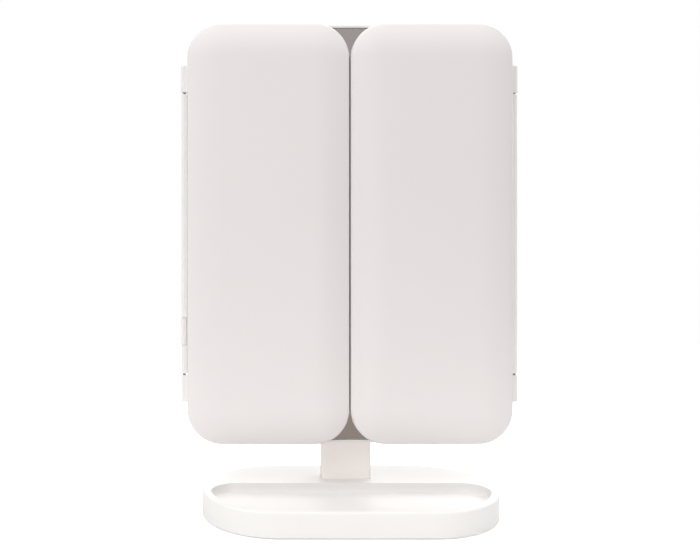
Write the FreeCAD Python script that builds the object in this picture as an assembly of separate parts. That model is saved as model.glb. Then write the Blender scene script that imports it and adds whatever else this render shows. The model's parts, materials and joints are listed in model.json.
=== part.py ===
import FreeCAD, Part
import math
import os

# Trifold vanity mirror with its wings closed. Millimetres, +Z up, and the user sits on the -Y side.
# The origin is the middle of the base outline, at table level. Wings and hinges are built on the
# right-hand side and mirrored for the left.

# ---- driving sizes ----
base_width = 221.5
base_depth = 116.0
base_top = 19.2
head_width = 243.6
head_height = 315.0
head_lift = 52.3          # table to the bottom edge of the head
corner_radius = 26.0      # outline corners of the wings and the centre panel
wing_gap = 1.1            # slit between the two closed wings
wing_depth = 12.9         # parting plane to the crown of a closed wing
panel_depth = 16.8        # parting plane to the back of the centre panel
neck_width = 38.4
neck_thickness = 14.0
tilt_height = 150.0       # table to the tilt axis
tilt_range = 30.0         # degrees that the head tilts back

# ---- walls and fits ----
wall = 2.0
slip = 0.2                # around pieces laid into a recess
shaft_clearance = 0.05    # radial, turning pins
press_clearance = 0.02    # radial, pins and screws that grip
screw_clearance = 0.3     # radial, screws that pass through
moving_clearance = 0.3    # faces that pass each other
face_gap = 0.3            # parting plane to the frame faces on either side of it
through = 1.0             # how far cutting tools run past what they cut
tolerance = 0.001         # when an edge counts as lying at a height

# ---- screws: head radius, head height, shank radius, shank length ----
cover_screw = (2.8, 1.1, 1.2, 5.5)
weight_screw = (2.8, 2.0, 1.2, 4.5)
bracket_screw = (3.0, 2.2, 1.6, 5.5)
neck_screw = (2.4, 1.1, 1.0, 7.6)
frame_screw = (2.7, 1.8, 1.15, 8.0)
lug_screw = (2.7, 1.1, 1.5, 3.0)
rail_screw = (2.4, 1.6, 1.1, 4.2)
recess_share = 0.5        # driver recess over the head, in radius and in depth
skin_sink = 1.2           # head recess in a thin wall
post_sink = 3.2           # head recess over a frame post
weight_sink = 2.2         # head recess in the steel weight
post_radius = 3.6
neck_post_radius = 3.0
post_overlap = 1.0        # how far a post runs into the wall that carries it

# ---- base ----
foot_lift = 1.2
foot_radius = 6.8
foot_recess = 0.8
foot_chamfer = 0.4
cover_thickness = 2.0
weight_thickness = 5.0
weight_lift = 0.5         # bottom cover to the weight
weight_margin = 18.0      # base side to the weight
weight_end_margin = 24.0  # base end to the weight
cover_screw_margin = 10.5
foot_place = (16.0, 21.0)              # beyond the end arc's centre, and in from the base side
weight_screw_place = (8.0, 35.0)
rim_width = 5.5
tray_depth = 6.9
tray_back = 8.0           # middle of the base to the tray's straight back wall
tray_corner = 18.0
tray_floor_radius = 1.5
top_edge_radius = 1.8
end_radius = base_depth / 2
end_centre = base_width / 2 - end_radius
cover_top = foot_lift + cover_thickness
weight_bottom = cover_top + weight_lift
weight_top = weight_bottom + weight_thickness
tray_floor = base_top - tray_depth
roof = base_top - wall

# ---- neck and tilt hinge ----
neck_offset = 2.2         # back of the centre panel to the neck
neck_edge_radius = 2.0
neck_front = panel_depth + neck_offset
neck_back = neck_front + neck_thickness
neck_middle = (neck_front + neck_back) / 2     # parting plane of the shells, through the tilt axis
neck_screw_rise = 26.0    # deck to the lower neck screw
neck_screw_drop = 44.5    # tilt axis to the upper neck screw
bracket_sheet = 2.0
bracket_half = 9.6
bracket_foot = (5.5, 6.5)              # foot plate in front of the neck and behind the web
bracket_screw_offset = 4.5             # side of the neck to the screws
bracket_screw_rows = (-1.0, 14.0)      # behind the front of the neck
bracket_foot_margin = 4.5              # screws to the end of the foot plate
neck_bottom = weight_top + bracket_sheet
washer_thickness = 1.0
washer_radius = 4.0
washer_play = 0.1
tongue_half = bracket_half - bracket_sheet - washer_thickness - 2 * washer_play
tongue_margin = 0.4       # tongue to the inside of the neck's half-round top
tongue_radius = neck_thickness / 2 - wall - tongue_margin
tongue_play = 0.6
ear_margin = 0.1          # round ear of the bracket over the tongue
tilt_pin_radius = 2.5
tilt_head_radius = 4.2
tilt_head_height = 2.5
nut_radius = 4.3
nut_height = 3.5
lug_half_width = 23.0
lug_half_height = 18.0
lug_thickness = 2.5
lug_screw_margin = 5.5    # lug edges to its screws

# ---- head ----
head_middle = head_lift + head_height / 2
half_head = head_height / 2
wing_outer = head_width / 2
wing_inner = wing_gap / 2
wing_width = wing_outer - wing_inner
wing_middle = (wing_outer + wing_inner) / 2
panel_margin = 0.1        # closed wings overhang the centre panel by this
panel_half = wing_outer - panel_margin
inner_back = panel_depth - wall

# ---- frames, mirrors and lights ----
bezel = 2.0
wing_sink = 0.6           # mirror face below the wing frame's face
panel_sink = 1.7          # mirror face below the centre frame's face
wing_glass = 2.2
panel_glass = 2.4
glass_corner = 18.0
wing_flange = 3.0         # part of the wing frame that shows at the edge
panel_flange = 4.2
lip_height = 1.1          # part of a frame that plugs into its shell
light_pillar = 17.0       # frame width beside the centre mirror
light_width = 9.0
light_margin = 37.8       # head end to the end of a light
light_sink = 0.4
light_thickness = 2.6
light_ledge = 1.0         # step in the frame that a diffuser rests on
light_edge = 2.0          # bezel to diffuser
board_half = 4.0
board_thickness = 1.0
chip_half = 1.5
chip_height = 0.9
chips_per_side = 10
frame_screw_margin = (25.5, 17.5)      # panel side and head end to the corner screws
middle_screw_place = (35.0, 19.5)      # from the middle plane, and from the head end
frame_post_height = 3.5
frame_post_wall = 0.6     # rear posts are thicker, for the recessed heads
flange_back = face_gap + panel_flange
frame_back = flange_back + lip_height
light_half = half_head - light_margin
light_x = panel_half - bezel - light_edge - light_width / 2

# ---- housings ----
wing_wall_height = 1.6    # straight part of the wing shell's side
wing_roll = corner_radius - 1.0
wing_tightness = 0.4      # radius of the roll's first arc over its rise
rib_thickness = 1.4
rib_pitch = 75.0
back_straight = 11.5      # the rear shell's side is straight up to here
back_roll = 10.0
back_tightness = 0.6

# ---- hinges ----
hinge_offset = 2.8        # side of the closed wing to the hinge axis
hinge_x = wing_outer + hinge_offset
hinge_margin = 31.1       # head end to the knuckle
hinge_half = half_head - hinge_margin
knuckle_radius = 2.5
knuckle_length = 20.0
knuckle_gap = 1.2
knuckle_chamfer = 0.4
pin_chamfer = 0.3
tenon_depth = 1.3         # tongue of a knuckle inside the wing frame
tenon_thickness = 1.4
tenon_inset = 3.0         # knuckle end to tongue end
hinge_pin_radius = 1.2
hinge_pin_seat = 18.0     # length of a pin inside its knuckle
sleeve_radius = 1.65
sleeve_length = 9.0
rail_half = hinge_half - knuckle_length - knuckle_gap
rail_reach = 2.1          # hinge axis to the rail's outer face
rail_outer = hinge_x + rail_reach
rail_back = 12.5
rail_corner = 2.0
rail_slope = 1.0          # how far the rail's back leans off the panel
rail_chamfer = 0.4        # ends of the rails
rail_screw_y = 8.8
rail_screw_margin = 26.0  # rail's upper end to its upper screw
button_screw_gap = 10.0   # button's end to the lower rail screw

# ---- push button ----
button_rise = 84.0        # bottom edge of the head to the button's middle
button_length = 21.0
button_thickness = 2.6
button_travel = 0.8
button_proud = 0.4
button_seam = 0.3
button_chamfer = 0.25     # ends of the button
button_root = 0.5         # how far stem and guides run into the button
stem_radius = 1.5
stem_y = 9.8
guide_radius = 1.2
guide_y = 6.8
guide_spacing = 14.0
button_middle = head_lift + button_rise
button_inner = rail_outer + button_proud - button_thickness
button_seat = button_inner - button_travel - moving_clearance
lip_inner = wing_outer + moving_clearance + button_travel     # lip over the seat, clear of the wing
switch_depth = 3.5
switch_half = 3.0
switch_inset = 2.1        # inside of the panel's wall to the switch
switch_play = 0.4         # pressed button to the switch body
switch_board_thickness = 1.2
switch_board_half = 12.0
switch_face = panel_half - wall - switch_inset
plunger_radius = 1.3
plunger_length = 2.6
plunger_outer = switch_face + button_travel + switch_play

# ---- power and control ----
socket_x = 60.0
socket_rise = 38.0        # bottom edge of the head to the socket
socket_z = head_lift + socket_rise
socket_width = 9.0
socket_height = 3.3
socket_lip = 0.35
socket_edge = 1.2         # can's side to the contact tongue
control_gap = 1.6         # frame to control board
control_thickness = 1.6
control_span = (-35.0, 30.0)       # board edges left and right of the socket
control_rise = (-12.0, 24.0)       # board edges below and above the socket
standoff_radius = 1.5
standoff_inset = 4.0
standoff_overlap = 0.4
driver_chip = (-28.0, 4.0, 10.0, 1.2)      # left, bottom (both from the socket), side, height
charger_chip = (-10.0, 6.0, 6.0, 1.5)
capacitor = (20.0, 12.0, 3.0, 4.0)         # across, up (both from the socket), radius, height
battery_thickness = 6.0
battery_span = (-32.0, 28.0)       # from the socket
battery_rise = (10.0, 60.0)        # from the middle of the head
battery_edge_radius = 2.0
control_front = frame_back + control_gap
control_back = control_front + control_thickness


def vec(x, y, z):
    return FreeCAD.Vector(x, y, z)


X_AXIS = vec(1, 0, 0)
Y_AXIS = vec(0, 1, 0)
Z_AXIS = vec(0, 0, 1)
ORIGIN = vec(0, 0, 0)


# ---- shapes used throughout ----
def block(x0, x1, y0, y1, z0, z1):
    return Part.makeBox(x1 - x0, y1 - y0, z1 - z0, vec(x0, y0, z0))


def rod(radius, start, axis, length):
    return Part.makeCylinder(radius, length, start, axis)


def tube(outer, inner, start, axis, length):
    return rod(outer, start, axis, length).cut(rod(inner, start, axis, length))


def fuse_all(shapes):
    solid = shapes[0]
    for shape in shapes[1:]:
        solid = solid.fuse(shape)
    return solid.removeSplitter()


def cut_all(solid, tools):
    for tool in tools:
        solid = solid.cut(tool)
    return solid


def mirrored(shape):
    """The same piece on the other side of the plane X = 0."""
    return shape.mirror(ORIGIN, X_AXIS)


def both_sides(shape):
    return [shape, mirrored(shape)]


def four_places(x, y):
    return [(x, y), (-x, y), (x, -y), (-x, -y)]


def edges_at(shape, z):
    """Edges that lie flat at height z."""
    found = []
    for edge in shape.Edges:
        box = edge.BoundBox
        if abs(box.ZMin - z) < tolerance and abs(box.ZMax - z) < tolerance:
            found.append(edge)
    return found


def broken_ends(shape, z0, z1, chamfer):
    """The same piece with a chamfer round each of its flat ends."""
    return shape.makeChamfer(chamfer, edges_at(shape, z0) + edges_at(shape, z1))


def broken_rod(radius, start, length, chamfer):
    return broken_ends(rod(radius, start, Z_AXIS, length), start.z, start.z + length, chamfer)


def upright_edges(shape, length):
    return [edge for edge in shape.Edges if abs(edge.BoundBox.ZLength - length) < tolerance]


def screw(kind, seat, axis):
    """Cap screw with a driver recess. The head sits on the seat point, and the shank runs along the axis."""
    head_radius, cap_height, shank_radius, shank_length = kind
    cap_start = seat - axis * cap_height
    cap = rod(head_radius, cap_start, axis, cap_height)
    recess = rod(head_radius * recess_share, cap_start, axis, cap_height * recess_share)
    return cap.cut(recess).fuse(rod(shank_radius, seat, axis, shank_length))


def screw_passage(kind, seat, axis, sink):
    """Counterbore of depth sink above the seat, and a hole that clears the shank."""
    head_radius, cap_height, shank_radius, shank_length = kind
    head_space = rod(head_radius + screw_clearance, seat - axis * (sink + through), axis, sink + through)
    return head_space.fuse(rod(shank_radius + screw_clearance, seat, axis, shank_length))


def screw_grip(kind, seat, axis):
    """Hole that the shank holds in."""
    shank_radius, shank_length = kind[2:]
    return rod(shank_radius + press_clearance, seat, axis, shank_length + through)


def rounded_wire(middle_x, middle_z, outline, y):
    """Upright rounded rectangle at depth y. outline: width, height and corner radius."""
    width, height, radius = outline
    arcs = []
    for quarter, (side_x, side_z) in enumerate(((1, 1), (-1, 1), (-1, -1), (1, -1))):
        centre_x = middle_x + side_x * (width / 2 - radius)
        centre_z = middle_z + side_z * (height / 2 - radius)
        points = []
        for step in range(3):
            turn = math.radians(90 * quarter + 45 * step)
            points.append(vec(centre_x + radius * math.cos(turn), y, centre_z + radius * math.sin(turn)))
        arcs.append(points)
    edges = []
    for index, points in enumerate(arcs):
        edges.append(Part.Arc(*points).toShape())
        edges.append(Part.makeLine(points[2], arcs[(index + 1) % 4][0]))
    return Part.Wire(edges)


def rounded_plate(middle_x, middle_z, outline, y0, y1):
    face = Part.Face(rounded_wire(middle_x, middle_z, outline, y0))
    return face.extrude(vec(0, y1 - y0, 0))


def inset_outline(outline, inset):
    width, height, radius = outline
    return width - 2 * inset, height - 2 * inset, radius - inset


def rolled_edge(radial, shoulder, reach, rise, tight):
    """Profile points of a tight arc off the wall, then a wide arc that ends level at the crown.

    radial and shoulder: where the wall ends. reach and rise: how far the two arcs run inward and outward.
    tight: radius of the first arc. Returns start, middle, joint, middle, end.
    """
    slope = 2 * math.atan((abs(rise) - tight) / (reach - tight))
    wide = tight + (reach - tight) / math.sin(slope)
    way = math.copysign(1, rise)

    def on_arc(radius, centre, angle):
        return vec(centre[0] + radius * math.sin(angle), centre[1] + way * radius * math.cos(angle), 0)

    tight_centre = (radial - tight, shoulder)
    wide_centre = (radial - reach, shoulder + rise - way * wide)
    tight_angles = (math.pi / 2, math.pi / 4 + slope / 2, slope)
    points = [on_arc(tight, tight_centre, angle) for angle in tight_angles]
    return points + [on_arc(wide, wide_centre, angle) for angle in (slope / 2, 0)]


def pillow(middle_x, outline, edges, reach, tight_share):
    """Rounded plate whose far face rolls over to its sides in two tangent arcs.

    outline: width, height and corner radius. edges: depth of the open side, of the end of the straight wall
    and of the crown. reach: how far in the roll runs. tight_share: radius of its first arc over its rise.
    """
    width, height, radius = outline
    start, shoulder, crown = edges
    rise = crown - shoulder
    roll = rolled_edge(radius, shoulder, reach, rise, tight_share * abs(rise))
    sides = [Part.makeLine(vec(0, start, 0), vec(radius, start, 0))]
    sides.append(Part.makeLine(vec(radius, start, 0), roll[0]))
    sides.append(Part.Arc(roll[0], roll[1], roll[2]).toShape())
    sides.append(Part.Arc(roll[2], roll[3], roll[4]).toShape())
    sides.append(Part.makeLine(roll[4], vec(0, crown, 0)))
    sides.append(Part.makeLine(vec(0, crown, 0), vec(0, start, 0)))
    profile = Part.Face(Part.Wire(sides))
    half_x = width / 2 - radius
    half_z = height / 2 - radius
    pieces = [block(-half_x, half_x, min(start, crown), max(start, crown), -half_z, half_z)]
    for quarter in range(4):
        across, along = (half_x, half_z) if quarter % 2 == 0 else (half_z, half_x)
        side = profile.extrude(vec(0, 0, 2 * along))
        corner = profile.revolve(ORIGIN, Y_AXIS, 90)
        for piece in (side, corner):
            piece.translate(vec(across, 0, -along))
            piece.rotate(ORIGIN, Y_AXIS, 90 * quarter)
            pieces.append(piece)
    body = fuse_all(pieces)
    body.translate(vec(middle_x, 0, head_middle))
    return body


def hollow_pillow(middle_x, outline, edges, reach, tight_share):
    """The pillow hollowed to an even wall and open on its flat side. Returns the shell and its inside."""
    start, shoulder, crown = edges
    inner_edges = (start, shoulder, crown - math.copysign(wall, crown))
    inside = pillow(middle_x, inset_outline(outline, wall), inner_edges, reach - wall, tight_share)
    return pillow(middle_x, outline, edges, reach, tight_share).cut(inside), inside


def stadium(width, depth, z0, z1):
    """Flat plate with full-round ends, centred on the origin."""
    radius = depth / 2
    half = width / 2 - radius
    middle = block(-half, half, -radius, radius, z0, z1)
    ends = [rod(radius, vec(side * half, 0, z0), Z_AXIS, z1 - z0) for side in (-1, 1)]
    return fuse_all([middle] + ends)


def upright_bar(width, y0, y1, radius, z0, z1):
    """Vertical bar with rounded upright edges, centred on X = 0."""
    bar = block(-width / 2, width / 2, y0, y1, z0, z1)
    return bar.makeFillet(radius, upright_edges(bar, z1 - z0))


def tray_body(grow, z0, z1):
    """The tray recess as a solid: concentric with the base outline, straight at the back.

    Each end is a large arc along the rim, then a corner arc up to the straight back.
    """
    radius = end_radius - rim_width + grow
    corner = tray_corner + grow
    back = tray_back + grow
    corner_y = back - corner
    corner_x = end_centre + math.sqrt((radius - corner) ** 2 - corner_y ** 2)
    turn = math.atan2(corner_y, corner_x - end_centre)

    def on_end(side, angle):
        return vec(side * (end_centre + radius * math.cos(angle)), radius * math.sin(angle), z0)

    def on_corner(side, angle):
        return vec(side * (corner_x + corner * math.cos(angle)), corner_y + corner * math.sin(angle), z0)

    def arc(place, side, first, last):
        points = [place(side, angle) for angle in (first, (first + last) / 2, last)]
        return Part.Arc(*points).toShape()

    front = -math.pi / 2
    rear = math.pi / 2
    edges = [Part.makeLine(on_end(-1, front), on_end(1, front)), arc(on_end, 1, front, turn),
             arc(on_corner, 1, turn, rear), Part.makeLine(on_corner(1, rear), on_corner(-1, rear)),
             arc(on_corner, -1, rear, turn), arc(on_end, -1, turn, front)]
    return Part.Face(Part.Wire(edges)).extrude(vec(0, 0, z1 - z0))


# ---- base ----
def cover_screw_places():
    row = end_radius - cover_screw_margin
    ends = [(end_centre + row, 0), (-end_centre - row, 0)]
    return ends + four_places(end_centre, row)


def weight_screw_places():
    return four_places(end_centre + weight_screw_place[0], end_radius - weight_screw_place[1])


def foot_places():
    return four_places(end_centre + foot_place[0], end_radius - foot_place[1])


def bracket_screw_places():
    x = neck_width / 2 + bracket_screw_offset
    return [(side * x, neck_front + row) for side in (-1, 1) for row in bracket_screw_rows]


def cover_screw_seats():
    return [vec(x, y, foot_lift + skin_sink) for x, y in cover_screw_places()]


def weight_screw_seats():
    return [vec(x, y, weight_bottom + weight_sink) for x, y in weight_screw_places()]


def bracket_screw_seats():
    return [vec(x, y, neck_bottom) for x, y in bracket_screw_places()]


def roof_posts(places, z0):
    return [rod(post_radius, vec(x, y, z0), Z_AXIS, roof + post_overlap - z0) for x, y in places]


def base_shell():
    outer = stadium(base_width, base_depth, foot_lift, base_top)
    outer = outer.makeFillet(top_edge_radius, edges_at(outer, base_top))
    hollow = stadium(base_width - 2 * wall, base_depth - 2 * wall, foot_lift, roof)
    hollow = hollow.cut(tray_body(wall, tray_floor - wall, base_top))
    posts = roof_posts(cover_screw_places(), cover_top) + roof_posts(weight_screw_places(), weight_top)
    shell = fuse_all([outer.cut(hollow)] + posts)
    recess = tray_body(0, tray_floor, base_top + through)
    recess = recess.makeFillet(tray_floor_radius, edges_at(recess, tray_floor))
    deck_hole = upright_bar(neck_width + 2 * slip, neck_front - slip, neck_back + slip,
                            neck_edge_radius + slip, tray_floor, base_top + through)
    grips = [screw_grip(cover_screw, seat, Z_AXIS) for seat in cover_screw_seats()]
    grips += [screw_grip(weight_screw, seat, Z_AXIS) for seat in weight_screw_seats()]
    return cut_all(shell, [recess, deck_hole] + grips)


def base_bottom_cover():
    inset = 2 * (wall + slip)
    cover = stadium(base_width - inset, base_depth - inset, foot_lift, cover_top)
    tools = [screw_passage(cover_screw, seat, Z_AXIS, skin_sink) for seat in cover_screw_seats()]
    tools += [rod(foot_radius + slip, vec(x, y, 0), Z_AXIS, foot_lift + foot_recess)
              for x, y in foot_places()]
    return cut_all(cover, tools)


def base_screws():
    return [screw(cover_screw, seat, Z_AXIS) for seat in cover_screw_seats()]


def rubber_feet():
    feet = []
    for x, y in foot_places():
        foot = rod(foot_radius, vec(x, y, 0), Z_AXIS, foot_lift + foot_recess)
        feet.append(foot.makeChamfer(foot_chamfer, edges_at(foot, 0)))
    return feet


def base_weight():
    """Steel plate that keeps the stand from tipping. It stays inside the rows of cover screws."""
    weight = stadium(base_width - 2 * weight_end_margin, base_depth - 2 * weight_margin, weight_bottom,
                     weight_top)
    tools = [screw_passage(weight_screw, seat, Z_AXIS, weight_sink) for seat in weight_screw_seats()]
    tools += [screw_grip(bracket_screw, seat, -Z_AXIS) for seat in bracket_screw_seats()]
    return cut_all(weight, tools)


def weight_screws():
    return [screw(weight_screw, seat, Z_AXIS) for seat in weight_screw_seats()]


# ---- neck ----
def neck_body(inset):
    """The neck's outline with a half-round top about the tilt axis, shrunk by inset."""
    half = neck_thickness / 2 - inset
    width = neck_width - 2 * inset
    front = neck_middle - half
    back = neck_middle + half
    bar = upright_bar(width, front, back, neck_edge_radius - inset / 2, neck_bottom, tilt_height + half)
    profile = block(-neck_width, neck_width, front, back, neck_bottom, tilt_height)
    crown = rod(half, vec(-neck_width, neck_middle, tilt_height), X_AXIS, 2 * neck_width)
    return bar.common(profile.fuse(crown))


def neck_half(y0, y1):
    """The hollow neck between two depths."""
    shell = neck_body(0).cut(neck_body(wall))
    return shell.common(block(-neck_width, neck_width, y0, y1, 0, tilt_height + neck_thickness))


def neck_screw_seats():
    return [vec(0, neck_back - skin_sink, z)
            for z in (base_top + neck_screw_rise, tilt_height - neck_screw_drop)]


def neck_front_shell():
    posts = [rod(neck_post_radius, vec(0, neck_front + wall - post_overlap, seat.z), Y_AXIS,
                 neck_thickness / 2) for seat in neck_screw_seats()]
    shell = fuse_all([neck_half(neck_front, neck_middle)] + posts)
    half = tongue_half + tongue_play
    slot = block(-half, half, neck_front - through, neck_middle,
                 tilt_height - tongue_radius - 2 * tongue_play, tilt_height + neck_thickness)
    grips = [screw_grip(neck_screw, seat, -Y_AXIS) for seat in neck_screw_seats()]
    return cut_all(shell, [slot] + grips)


def neck_rear_shell():
    half = tongue_half + tongue_play
    depth = tongue_radius * math.sin(math.radians(tilt_range)) + tongue_play
    notch = block(-half, half, neck_middle - through, neck_middle + depth, tilt_height,
                  tilt_height + neck_thickness)
    passages = [screw_passage(neck_screw, seat, -Y_AXIS, skin_sink) for seat in neck_screw_seats()]
    return cut_all(neck_half(neck_middle, neck_back), [notch] + passages)


def neck_screws():
    return [screw(neck_screw, seat, -Y_AXIS) for seat in neck_screw_seats()]


def neck_bracket():
    """Pressed steel channel from the weight up to the tilt axis, with a flat foot and two round ears."""
    ear_radius = tongue_radius + ear_margin
    web_back = neck_back - wall - slip
    web = block(-bracket_half, bracket_half, web_back - bracket_sheet, web_back, weight_top,
                tilt_height - ear_radius - bracket_sheet)
    foot_half = neck_width / 2 + bracket_screw_offset + bracket_foot_margin
    foot_plate = block(-foot_half, foot_half, neck_front - bracket_foot[0], web_back + bracket_foot[1],
                       weight_top, neck_bottom)
    flange_x = bracket_half - bracket_sheet
    flange = block(flange_x, bracket_half, neck_middle - ear_radius, web_back, weight_top,
                   tilt_height - ear_radius)
    ear = block(flange_x, bracket_half, neck_middle - ear_radius, neck_middle + ear_radius,
                tilt_height - 2 * ear_radius, tilt_height)
    ear_top = rod(ear_radius, vec(flange_x, neck_middle, tilt_height), X_AXIS, bracket_sheet)
    solid = fuse_all([web, foot_plate] + both_sides(fuse_all([flange, ear, ear_top])))
    tools = [tilt_bore(press_clearance)]
    tools += [screw_passage(neck_screw, seat, -Y_AXIS, skin_sink) for seat in neck_screw_seats()]
    tools += [screw_passage(bracket_screw, seat, -Z_AXIS, 0) for seat in bracket_screw_seats()]
    return cut_all(solid, tools)


def bracket_screws():
    return [screw(bracket_screw, seat, -Z_AXIS) for seat in bracket_screw_seats()]


def tilt_bore(clearance):
    start = vec(-neck_width / 2, neck_middle, tilt_height)
    return rod(tilt_pin_radius + clearance, start, X_AXIS, neck_width)


def tilt_pin():
    start = vec(-bracket_half - tilt_head_height, neck_middle, tilt_height)
    cap = rod(tilt_head_radius, start, X_AXIS, tilt_head_height)
    length = tilt_head_height + 2 * bracket_half + nut_height + through
    return cap.fuse(rod(tilt_pin_radius, start, X_AXIS, length))


def tilt_nut():
    corners = []
    for index in range(7):
        turn = math.radians(60 * index)
        corners.append(vec(bracket_half, neck_middle + nut_radius * math.cos(turn),
                           tilt_height + nut_radius * math.sin(turn)))
    nut = Part.Face(Part.makePolygon(corners)).extrude(vec(nut_height, 0, 0))
    return nut.cut(tilt_bore(press_clearance))


def tilt_washers():
    start = vec(tongue_half + washer_play, neck_middle, tilt_height)
    return both_sides(tube(washer_radius, tilt_pin_radius + shaft_clearance, start, X_AXIS, washer_thickness))


def lug_screw_seats():
    places = four_places(lug_half_width - lug_screw_margin, lug_half_height - lug_screw_margin)
    return [vec(x, panel_depth - skin_sink, tilt_height + z) for x, z in places]


def tilt_lug():
    """Cast lug: a plate inside the rear shell, and a tongue that reaches back to the tilt axis."""
    plate = block(-lug_half_width, lug_half_width, inner_back - lug_thickness, inner_back,
                  tilt_height - lug_half_height, tilt_height + lug_half_height)
    tongue = block(-tongue_half, tongue_half, inner_back - lug_thickness, neck_middle,
                   tilt_height - tongue_radius, tilt_height + tongue_radius)
    nose = rod(tongue_radius, vec(-tongue_half, neck_middle, tilt_height), X_AXIS, 2 * tongue_half)
    grips = [screw_grip(lug_screw, seat, -Y_AXIS) for seat in lug_screw_seats()]
    return cut_all(fuse_all([plate, tongue, nose]), [tilt_bore(shaft_clearance)] + grips)


def lug_screws():
    return [screw(lug_screw, seat, -Y_AXIS) for seat in lug_screw_seats()]


# ---- centre panel ----
def panel_outline():
    return 2 * panel_half, head_height, corner_radius


def glass_outline():
    return 2 * (panel_half - light_pillar), head_height - 2 * bezel, glass_corner


def light_outline():
    return light_width, 2 * light_half, light_width / 2 - slip


def frame_screw_places():
    side_x = panel_half - frame_screw_margin[0]
    places = four_places(side_x, half_head - frame_screw_margin[1])
    places += four_places(middle_screw_place[0], half_head - middle_screw_place[1])
    places += [(side_x, 0), (-side_x, 0)]
    return [(x, head_middle + z) for x, z in places]


def frame_screw_seats():
    return [vec(x, panel_depth - post_sink, z) for x, z in frame_screw_places()]


def light_tools(x):
    """Pocket for a diffuser, and the window behind it for the light of its chips."""
    pocket = rounded_plate(x, head_middle, inset_outline(light_outline(), -slip), face_gap - through,
                           face_gap + light_sink + light_thickness)
    window = rounded_plate(x, head_middle, inset_outline(light_outline(), light_ledge), face_gap,
                           frame_back + through)
    return [pocket, window]


def centre_front_frame():
    outline = panel_outline()
    flange = rounded_plate(0, head_middle, outline, face_gap, flange_back)
    lip = rounded_plate(0, head_middle, inset_outline(outline, wall + slip), flange_back, frame_back)
    posts = [rod(post_radius, vec(x, frame_back - post_overlap, z), Y_AXIS, frame_post_height + post_overlap)
             for x, z in frame_screw_places()]
    pocket = rounded_plate(0, head_middle, inset_outline(glass_outline(), -slip), face_gap - through,
                           face_gap + panel_sink + panel_glass)
    grips = [screw_grip(frame_screw, seat, -Y_AXIS) for seat in frame_screw_seats()]
    tools = [pocket] + light_tools(light_x) + light_tools(-light_x) + grips
    return cut_all(fuse_all([flange, lip] + posts), tools)


def centre_mirror():
    front = face_gap + panel_sink
    return rounded_plate(0, head_middle, glass_outline(), front, front + panel_glass)


def light_diffuser():
    front = face_gap + light_sink
    return rounded_plate(light_x, head_middle, light_outline(), front, front + light_thickness)


def light_board():
    return block(light_x - board_half, light_x + board_half, frame_back, frame_back + board_thickness,
                 head_middle - light_half, head_middle + light_half)


def light_chips():
    chips = []
    pitch = 2 * light_half / chips_per_side
    for index in range(chips_per_side):
        z = head_middle - light_half + pitch * (index + 0.5)
        chips += both_sides(block(light_x - chip_half, light_x + chip_half, frame_back - chip_height,
                                  frame_back, z - chip_half, z + chip_half))
    return chips


def centre_rear_shell():
    edges = (flange_back, back_straight, panel_depth)
    shell, inside = hollow_pillow(0, panel_outline(), edges, back_roll, back_tightness)
    post_start = frame_back + frame_post_height
    posts = [rod(post_radius + frame_post_wall, vec(x, post_start, z), Y_AXIS,
                 inner_back + post_overlap - post_start) for x, z in frame_screw_places()]
    tools = [screw_passage(frame_screw, seat, -Y_AXIS, post_sink) for seat in frame_screw_seats()]
    tools += [screw_passage(lug_screw, seat, -Y_AXIS, skin_sink) for seat in lug_screw_seats()]
    half = tongue_half + tongue_play
    rise = tongue_radius + tongue_play
    tools.append(block(-half, half, inner_back - through, panel_depth + through, tilt_height - rise,
                       tilt_height + rise))
    mouth = inset_outline((socket_width, socket_height, socket_height / 2 - slip), -socket_lip)
    tools.append(rounded_plate(socket_x, socket_z, mouth, inner_back - through, panel_depth + through))
    shank_radius = rail_screw[2]
    for seat in rail_screw_seats():
        tools += both_sides(rod(shank_radius + screw_clearance, seat, X_AXIS, wall + through))
    stem_start = vec(-panel_half - through, stem_y, button_middle)
    tools.append(rod(stem_radius + moving_clearance, stem_start, X_AXIS, wall + 2 * through))
    return cut_all(fuse_all([shell] + posts), tools)


def frame_screws():
    return [screw(frame_screw, seat, -Y_AXIS) for seat in frame_screw_seats()]


# ---- hinge rails ----
def rail_section():
    """Outline across the right rail: flat against the panel, half-round in front of the hinge axis."""
    inner = wing_outer + moving_clearance
    nose_radius = (rail_outer - inner) / 2
    nose_x = rail_outer - nose_radius
    step = face_gap + moving_clearance
    bend = rail_corner * (1 - math.sqrt(0.5))
    side = [vec(panel_half + rail_slope, rail_back, 0), vec(panel_half, back_straight, 0),
            vec(panel_half, step, 0), vec(inner, step, 0), vec(inner, 0, 0)]
    outer_end = vec(rail_outer, rail_back - rail_corner, 0)
    back_end = vec(rail_outer - rail_corner, rail_back, 0)
    edges = [Part.makeLine(first, second) for first, second in zip(side, side[1:])]
    edges.append(Part.Arc(side[-1], vec(nose_x, -nose_radius, 0), vec(rail_outer, 0, 0)).toShape())
    edges.append(Part.makeLine(vec(rail_outer, 0, 0), outer_end))
    edges.append(Part.Arc(outer_end, vec(rail_outer - bend, rail_back - bend, 0), back_end).toShape())
    edges.append(Part.makeLine(back_end, side[0]))
    return Part.Face(Part.Wire(edges))


def rail_blank(z0, z1, shift):
    section = rail_section()
    section.translate(vec(shift, 0, z0))
    return section.extrude(vec(0, 0, z1 - z0))


def rail_screw_seats():
    """Seats on the inside of the right-hand wall. The left rail's lowest screw stays clear of the button."""
    lower = button_middle + button_length / 2 + button_screw_gap
    upper = head_middle + rail_half - rail_screw_margin
    return [vec(panel_half - wall, rail_screw_y, z) for z in (lower, (lower + upper) / 2, upper)]


def sleeve_starts():
    return [head_middle - rail_half, head_middle + rail_half - sleeve_length]


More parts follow.
